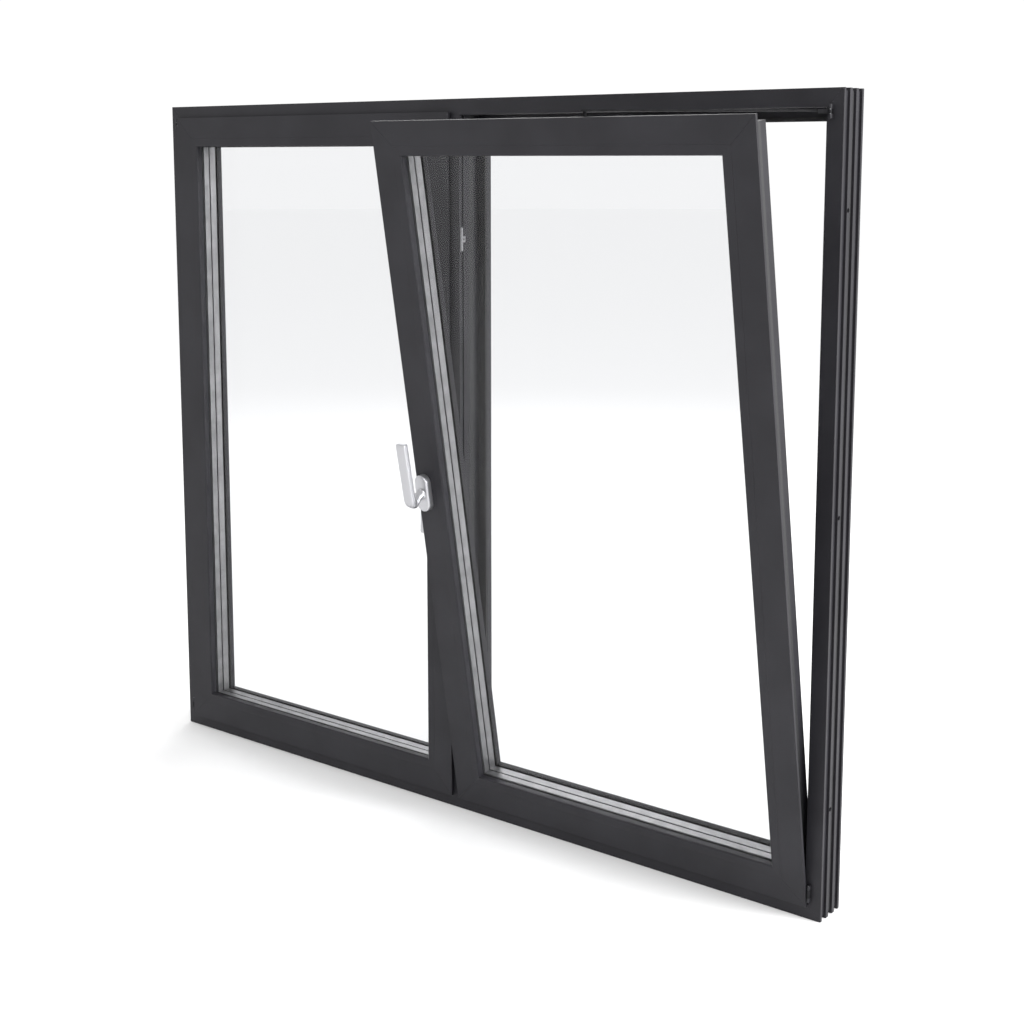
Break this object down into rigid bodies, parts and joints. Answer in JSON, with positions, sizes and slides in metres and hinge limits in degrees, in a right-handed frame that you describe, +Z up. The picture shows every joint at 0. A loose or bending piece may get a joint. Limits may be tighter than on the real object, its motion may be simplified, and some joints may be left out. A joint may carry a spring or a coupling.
{
  "type": "casement window",
  "caption": "Two-sash casement window with a fixed mullion, triple glazing, a side-hung sash and a tilt-and-turn sash that leans into the room.",
  "frame": {"origin": "middle of the lower edge of the outer frame's room face", "axes": "+X to the right seen from the room, +Y outwards to the weather, +Z up"},
  "size_m": [1.65, 0.3236, 1.44],
  "materials": {
    "powder_coat": "satin anthracite powder coat",
    "polyamide": "matte glass-filled polyamide",
    "epdm": "matte EPDM rubber",
    "zinc": "satin zinc plating",
    "cleat_alloy": "mill finish",
    "dark_steel": "satin dark lacquer",
    "handle_alloy": "satin silver anodised",
    "spacer": "satin grey",
    "glass": "clear float glass"
  },
  "bodies": {
    "frame": {"frame_head": "powder_coat", "frame_sill": "powder_coat", "frame_jamb_left": "powder_coat", "frame_jamb_right": "powder_coat", "frame_thermal_breaks": "polyamide", "frame_corner_cleats": "cleat_alloy", "mullion": "powder_coat", "mullion_connectors": "cleat_alloy", "centre_gaskets": "epdm", "strikers": "zinc", "drain_caps": "polyamide", "hinge_pins": "zinc", "left_frame_bearings": "powder_coat", "right_frame_bearings": "powder_coat"},
    "left_sash": {"left_sash_top_rail": "powder_coat", "left_sash_bottom_rail": "powder_coat", "left_sash_hinge_stile": "powder_coat", "left_sash_lock_stile": "powder_coat", "left_sash_thermal_breaks": "polyamide", "left_sash_corner_cleats": "cleat_alloy", "left_glazing_beads": "powder_coat", "left_glazing_gaskets": "epdm", "left_overlap_gasket": "epdm", "left_glass_panes": "glass", "left_glass_spacers": "spacer", "left_glass_edge_seal": "epdm", "left_setting_blocks": "polyamide", "left_handle_rosette": "handle_alloy", "left_handle_screws": "zinc", "left_sash_hinges": "dark_steel"},
    "left_handle": {"left_handle_grip": "handle_alloy", "left_handle_pinion": "zinc"},
    "left_drive": {"left_drive_rack": "zinc", "left_drive_rod": "zinc", "left_lock_cams": "zinc"},
    "right_carrier": {"right_corner_pivot": "dark_steel"},
    "right_sash": {"right_sash_top_rail": "powder_coat", "right_sash_bottom_rail": "powder_coat", "right_sash_hinge_stile": "powder_coat", "right_sash_lock_stile": "powder_coat", "right_sash_thermal_breaks": "polyamide", "right_sash_corner_cleats": "cleat_alloy", "right_glazing_beads": "powder_coat", "right_glazing_gaskets": "epdm", "right_overlap_gasket": "epdm", "right_glass_panes": "glass", "right_glass_spacers": "spacer", "right_glass_edge_seal": "epdm", "right_setting_blocks": "polyamide", "right_handle_rosette": "handle_alloy", "right_handle_screws": "zinc", "right_tilt_bracket": "dark_steel"},
    "right_handle": {"right_handle_grip": "handle_alloy", "right_handle_pinion": "zinc"},
    "right_drive": {"right_drive_rack": "zinc", "right_drive_rod": "zinc", "right_lock_cams": "zinc"},
    "right_bottom_drive": {"right_bottom_rod": "zinc"},
    "right_stay": {"right_stay_arm": "dark_steel"}
  },
  "joints": [
    {"name": "left_sash_turn", "type": "hinge", "parent": "frame", "child": "left_sash", "pos_m": [-0.8033, -0.0061, 0.05], "axis": [0, 0, -1], "range_deg": [0, 90]},
    {"name": "left_handle_turn", "type": "hinge", "parent": "left_sash", "child": "left_handle", "pos_m": [-0.028, -0.009, 0.7], "axis": [0, 1, 0], "range_deg": [0, 90]},
    {"name": "left_drive_slide", "type": "slide", "parent": "left_sash", "child": "left_drive", "axis": [0, 0, 1], "range_m": [0, 0.01257]},
    {"name": "right_sash_turn", "type": "hinge", "parent": "frame", "child": "right_carrier", "pos_m": [0.8033, -0.0061, 0.05], "axis": [0, 0, 1], "range_deg": [0, 90]},
    {"name": "right_sash_tilt", "type": "hinge", "parent": "right_carrier", "child": "right_sash", "pos_m": [0.76, 0.003, 0.037], "axis": [1, 0, 0], "range_deg": [-10, 0]},
    {"name": "right_handle_turn", "type": "hinge", "parent": "right_sash", "child": "right_handle", "pos_m": [0.028, -0.12395, 0.68784], "axis": [0, 0.9848, 0.1736], "range_deg": [0, 180]},
    {"name": "right_drive_slide", "type": "slide", "parent": "right_sash", "child": "right_drive", "axis": [0, 0.1736, -0.9848], "range_m": [0, 0.02513]},
    {"name": "right_bottom_slide", "type": "slide", "parent": "right_sash", "child": "right_bottom_drive", "axis": [-1, 0, 0], "range_m": [0, 0.02513]},
    {"name": "right_stay_swing", "type": "hinge", "parent": "right_carrier", "child": "right_stay", "pos_m": [0.8033, -0.0061, 1.4], "axis": [0, 0, 1], "range_deg": [-35.79, 0]}
  ],
  "couplings": [
    {"joint": "left_drive_slide", "follows": "left_handle_turn", "m_per_rad": 0.008},
    {"joint": "right_drive_slide", "follows": "right_handle_turn", "m_per_rad": 0.008},
    {"joint": "right_bottom_slide", "follows": "right_handle_turn", "m_per_rad": 0.008},
    {"joint": "right_stay_swing", "follows": "right_sash_tilt", "ratio": 3.5789}
  ]
}
